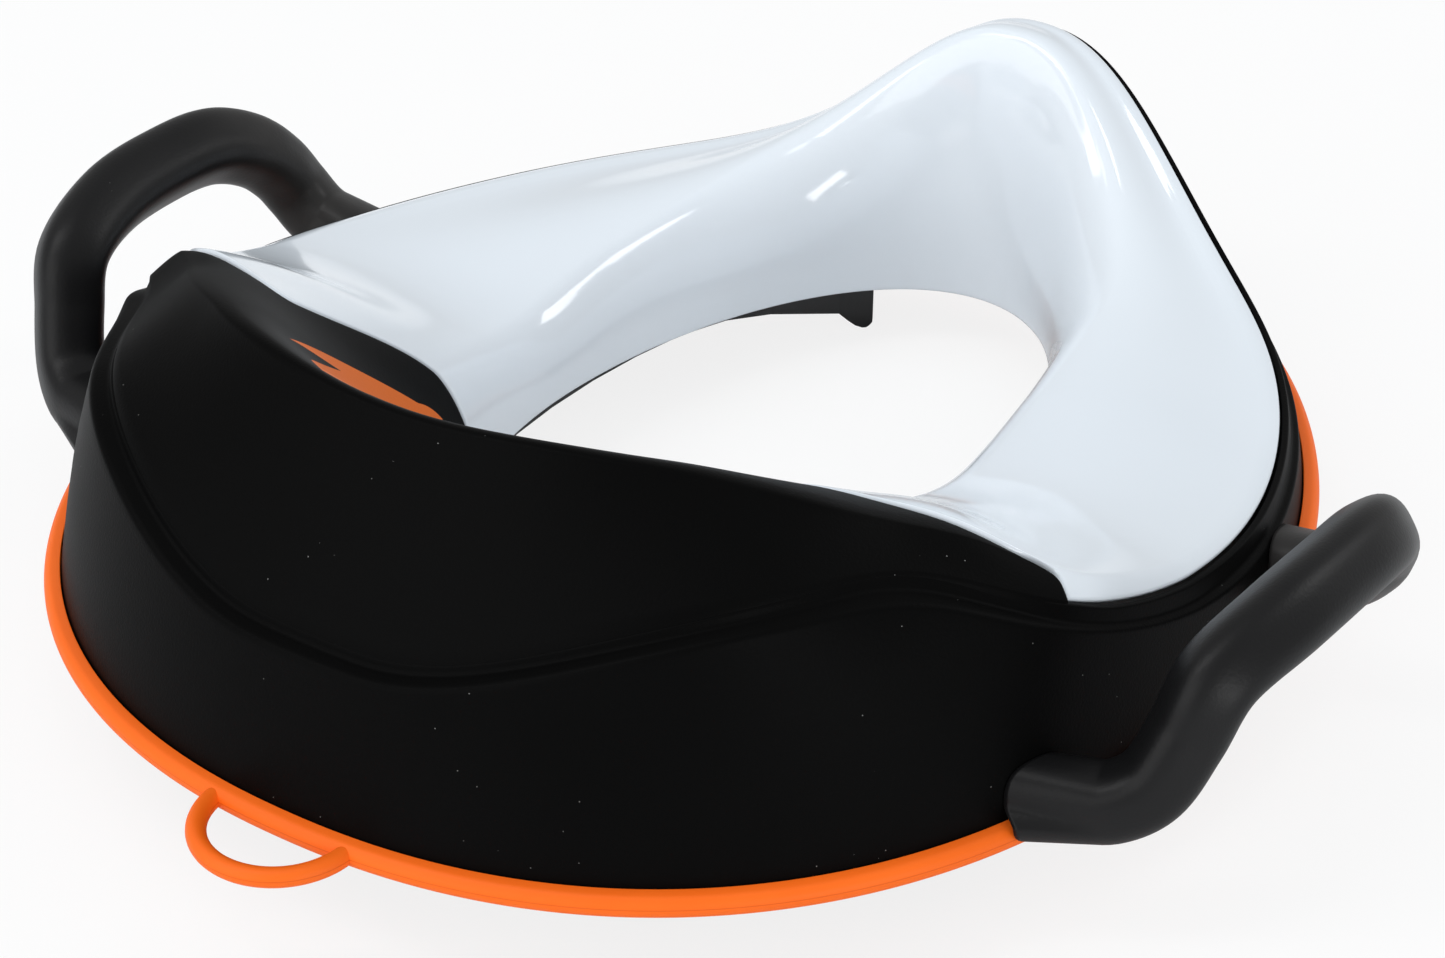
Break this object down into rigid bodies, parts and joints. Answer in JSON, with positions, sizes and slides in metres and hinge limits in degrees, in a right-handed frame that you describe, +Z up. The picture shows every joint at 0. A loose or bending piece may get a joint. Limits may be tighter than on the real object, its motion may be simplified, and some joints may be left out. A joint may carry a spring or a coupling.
{
  "type": "toilet training seat",
  "caption": "Child's toilet training seat with splash guard, moulded backrest shell, side handles and a soft non-slip rim with a hanging loop.",
  "frame": {"origin": "on the surface that the fins stand on, under the middle of the rim's widest line", "axes": "+X to the right-hand handle, +Y from the backrest to the splash guard, +Z up"},
  "size_m": [0.3832, 0.38, 0.1235],
  "materials": {
    "seat_plastic": "high gloss, injection moulded",
    "shell_plastic": "fine satin texture",
    "rim_rubber": "soft satin",
    "ring_plastic": "satin",
    "handle_plastic": "fine matte texture, rubbed at the ends"
  },
  "bodies": {
    "root": {"seat": "seat_plastic", "outer_shell": "shell_plastic", "non_slip_rim": "rim_rubber", "locating_ring": "ring_plastic", "left_handle": "handle_plastic", "right_handle": "handle_plastic"}
  },
  "joints": []
}
